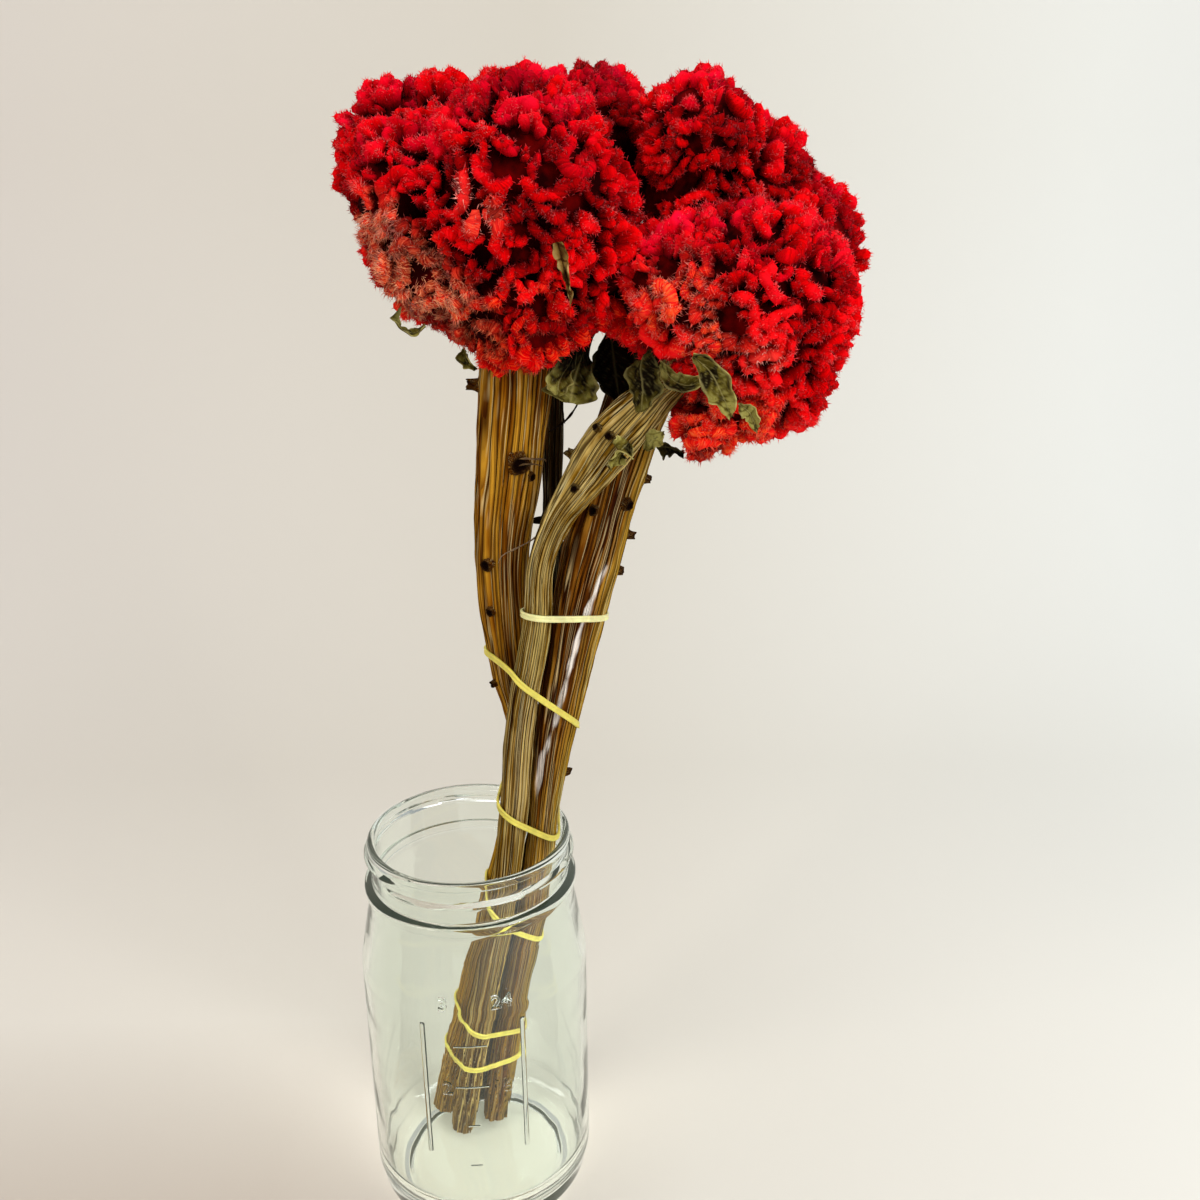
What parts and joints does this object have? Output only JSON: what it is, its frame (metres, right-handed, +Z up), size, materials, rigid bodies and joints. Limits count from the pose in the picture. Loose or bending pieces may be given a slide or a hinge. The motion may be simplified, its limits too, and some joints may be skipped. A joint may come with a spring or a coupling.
{
  "type": "dried cockscomb celosia bunch in a glass jar",
  "caption": "Dried cockscomb celosia with crimson crested heads on ribbed stems, tied with rubber bands and standing in a clear wide-mouth glass jar.",
  "frame": {"origin": "centre of the jar's flat base, on the surface it stands on", "axes": "+Z up along the jar's axis, +X towards the side that the heads lean to, -Y towards the front"},
  "size_m": [0.2018, 0.1353, 0.4786],
  "materials": {
    "glass": "clear, polished, faint green",
    "stem": "dry, ribbed, matt",
    "crest": "velvety",
    "leaf": "dry, curled, matt",
    "band": "satin"
  },
  "bodies": {
    "root": {"glass_jar": "glass", "stem_left": "stem", "stem_right": "stem", "stem_front": "stem", "stem_back": "stem", "band_pair": "band", "band_upper": "band", "band_rim": "band", "band_neck": "band", "band_low": "band", "band_lowest": "band", "head_left": "crest", "head_back": "crest", "head_right": "crest", "head_front": "crest", "leaf_hanging": "leaf", "leaf_shaded": "leaf", "leaf_drooping": "leaf", "leaf_veined": "leaf", "leaf_arched": "leaf", "leaf_right": "leaf", "leaf_small": "leaf", "leaf_torn": "leaf", "leaf_ragged": "leaf", "leaf_dark": "leaf", "leaf_tail": "leaf", "leaf_bract": "leaf", "leaf_under": "leaf"}
  },
  "joints": []
}
